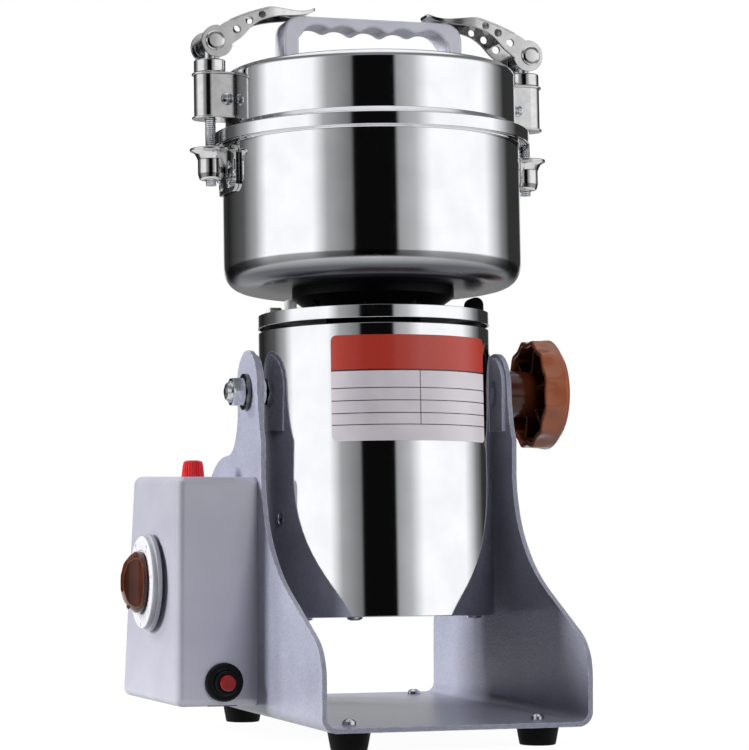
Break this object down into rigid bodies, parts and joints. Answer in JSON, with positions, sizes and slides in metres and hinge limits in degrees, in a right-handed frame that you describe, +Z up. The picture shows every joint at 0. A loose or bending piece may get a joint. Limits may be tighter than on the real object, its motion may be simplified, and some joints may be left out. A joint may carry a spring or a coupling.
{
  "type": "herb grinder",
  "caption": "Swing-type high-speed herb grinder: a stainless bowl with a latched lid on a motor that tilts in a folded stand, with a timer box beside it.",
  "frame": {"origin": "under the middle of the object's bounding box, on the ground", "axes": "+Z up, +Y from the front to the back, +X from the control box to the clamp knob"},
  "size_m": [0.2815, 0.267, 0.458],
  "materials": {
    "stand_paint": "grey-blue hammered enamel",
    "box_paint": "silver-grey metallic paint",
    "rubber": "matt black",
    "stainless": "polished stainless",
    "zinc": "bright zinc plate",
    "dark_metal": "dull dark grey",
    "cast": "painted casting",
    "black_plastic": "satin black",
    "white_plastic": "silver-white",
    "brown_plastic": "glossy brown phenolic",
    "red_plastic": "translucent red",
    "red_button": "glossy red",
    "label": "printed foil",
    "copper": "enamelled copper",
    "iron": "laminated iron",
    "carbon": "carbon and phenolic",
    "silicone": "white silicone",
    "brass": "machined"
  },
  "bodies": {
    "stand": {"base_frame": "stand_paint", "rubber_feet": "rubber", "foot_screws": "zinc", "control_box": "box_paint", "box_screws": "zinc", "dial_plate": "white_plastic", "timer_body": "dark_metal", "lamp_holder": "black_plastic", "lamp_lens": "red_plastic", "breaker_body": "black_plastic", "terminal_block": "white_plastic", "cord_gland": "black_plastic"},
    "timer": {"timer_knob": "brown_plastic", "timer_shaft": "zinc"},
    "reset": {"reset_button": "red_button"},
    "motor": {"motor_housing": "stainless", "motor_base": "dark_metal", "housing_screws": "zinc", "lower_bell": "cast", "upper_bell": "cast", "stator_core": "iron", "field_coils": "copper", "brush_gear": "carbon", "bearings": "zinc", "top_band": "stainless", "top_cover": "dark_metal", "cover_posts": "white_plastic", "stop_block": "rubber", "bowl_adapter": "black_plastic", "bowl": "stainless", "shaft_seal": "silicone", "keepers": "zinc", "keeper_screws": "zinc", "rating_label": "label", "pivot_bolts": "zinc", "pivot_nuts": "zinc", "pivot_washer": "zinc"},
    "rotor": {"rotor_shaft": "stainless", "armature_core": "iron", "commutator": "copper", "cooling_fan": "black_plastic", "blades": "stainless", "blade_spacers": "stainless", "blade_nut": "stainless"},
    "clamp": {"clamp_washer": "zinc"},
    "star": {"star_knob": "brown_plastic", "knob_insert": "brass"},
    "lid": {"lid_shell": "stainless", "lid_liner": "stainless", "lid_gasket": "silicone", "lid_handle": "cast", "lid_screws": "zinc", "latch_lugs": "zinc", "latch_collars": "zinc"},
    "left_rod": {"rod_left": "zinc", "pin_left": "zinc"},
    "right_rod": {"rod_right": "zinc", "pin_right": "zinc"},
    "left_lever": {"lever_left": "zinc"},
    "right_lever": {"lever_right": "zinc"}
  },
  "joints": [
    {"name": "swing", "type": "hinge", "parent": "stand", "child": "motor", "pos_m": [0.01675, 0.0195, 0.213], "axis": [1, 0, 0], "range_deg": [-10, 100]},
    {"name": "rotor_spin", "type": "hinge", "parent": "motor", "child": "rotor", "pos_m": [0.01675, 0.0195, 0.213], "axis": [0, 0.0506, 0.9987], "continuous": true},
    {"name": "clamp_slide", "type": "slide", "parent": "motor", "child": "clamp", "axis": [1, 0, 0], "range_m": [0, 0.003]},
    {"name": "star_turn", "type": "hinge", "parent": "clamp", "child": "star", "pos_m": [0.01675, 0.0195, 0.213], "axis": [1, 0, 0], "range_deg": [0, 720]},
    {"name": "timer_turn", "type": "hinge", "parent": "stand", "child": "timer", "pos_m": [-0.12825, 0.0475, 0.094], "axis": [-1, 0, 0], "range_deg": [0, 300]},
    {"name": "reset_press", "type": "slide", "parent": "stand", "child": "reset", "axis": [0, 1, 0], "range_m": [0, 0.003], "stiffness_N_per_m": 500, "springref_m": -0.002},
    {"name": "lid_lift", "type": "slide", "parent": "motor", "child": "lid", "axis": [0, 0.0506, 0.9987], "range_m": [0, 0.12]},
    {"name": "left_rod_drop", "type": "slide", "parent": "lid", "child": "left_rod", "axis": [0, -0.0506, -0.9987], "range_m": [0, 0.00148]},
    {"name": "right_rod_drop", "type": "slide", "parent": "lid", "child": "right_rod", "axis": [0, -0.0506, -0.9987], "range_m": [0, 0.00148]},
    {"name": "left_lever_turn", "type": "hinge", "parent": "left_rod", "child": "left_lever", "pos_m": [-0.08925, 0.03058, 0.43172], "axis": [0, -0.9987, 0.0506], "range_deg": [0, 100]},
    {"name": "right_lever_turn", "type": "hinge", "parent": "right_rod", "child": "right_lever", "pos_m": [0.12275, 0.03058, 0.43172], "axis": [0, 0.9987, -0.0506], "range_deg": [0, 100]}
  ],
  "couplings": [
    {"joint": "star_turn", "follows": "clamp_slide", "rad_per_m": 4188.8},
    {"joint": "left_lever_turn", "follows": "left_rod_drop", "rad_per_m": 1176.5},
    {"joint": "right_lever_turn", "follows": "right_rod_drop", "rad_per_m": 1176.5}
  ]
}
